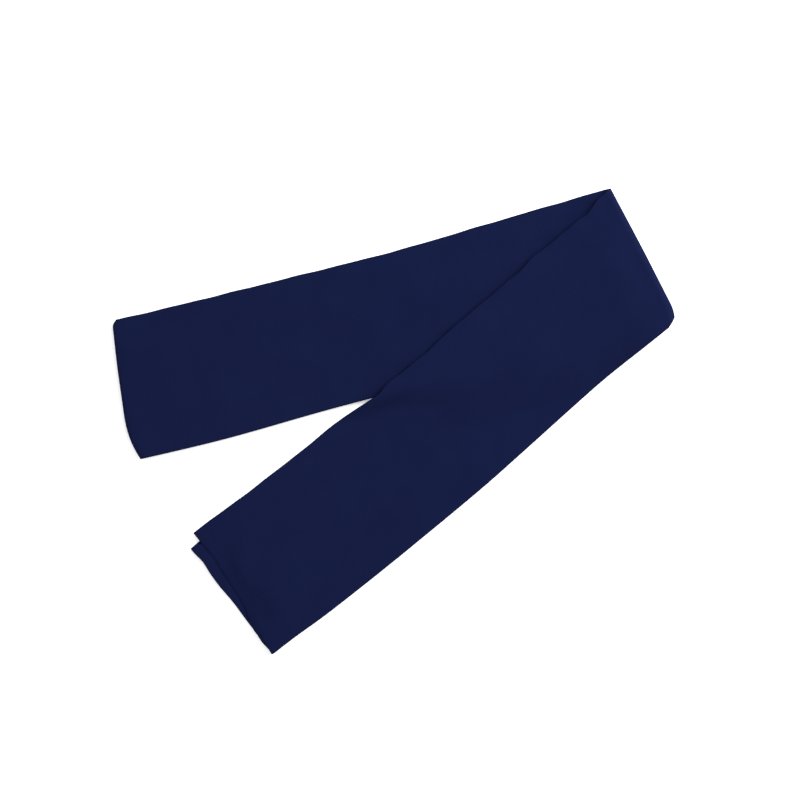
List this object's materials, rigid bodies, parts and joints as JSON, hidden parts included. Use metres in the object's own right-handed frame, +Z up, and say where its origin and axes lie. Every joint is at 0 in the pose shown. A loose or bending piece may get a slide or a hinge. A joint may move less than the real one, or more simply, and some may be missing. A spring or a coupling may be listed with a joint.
{
  "type": "scarf",
  "caption": "Plain navy scarf lying folded flat: a long cloth folded lengthwise, then across, then over at a slant into a V.",
  "frame": {"origin": "middle of the box around the folded scarf, on the surface that it lies on", "axes": "+Z up off that surface, +X towards the slanted fold, +Y towards the arm that lies below the other"},
  "size_m": [0.4802, 0.3992, 0.0168],
  "materials": {
    "cloth": "matte"
  },
  "bodies": {
    "root": {"scarf_cloth": "cloth"}
  },
  "joints": []
}
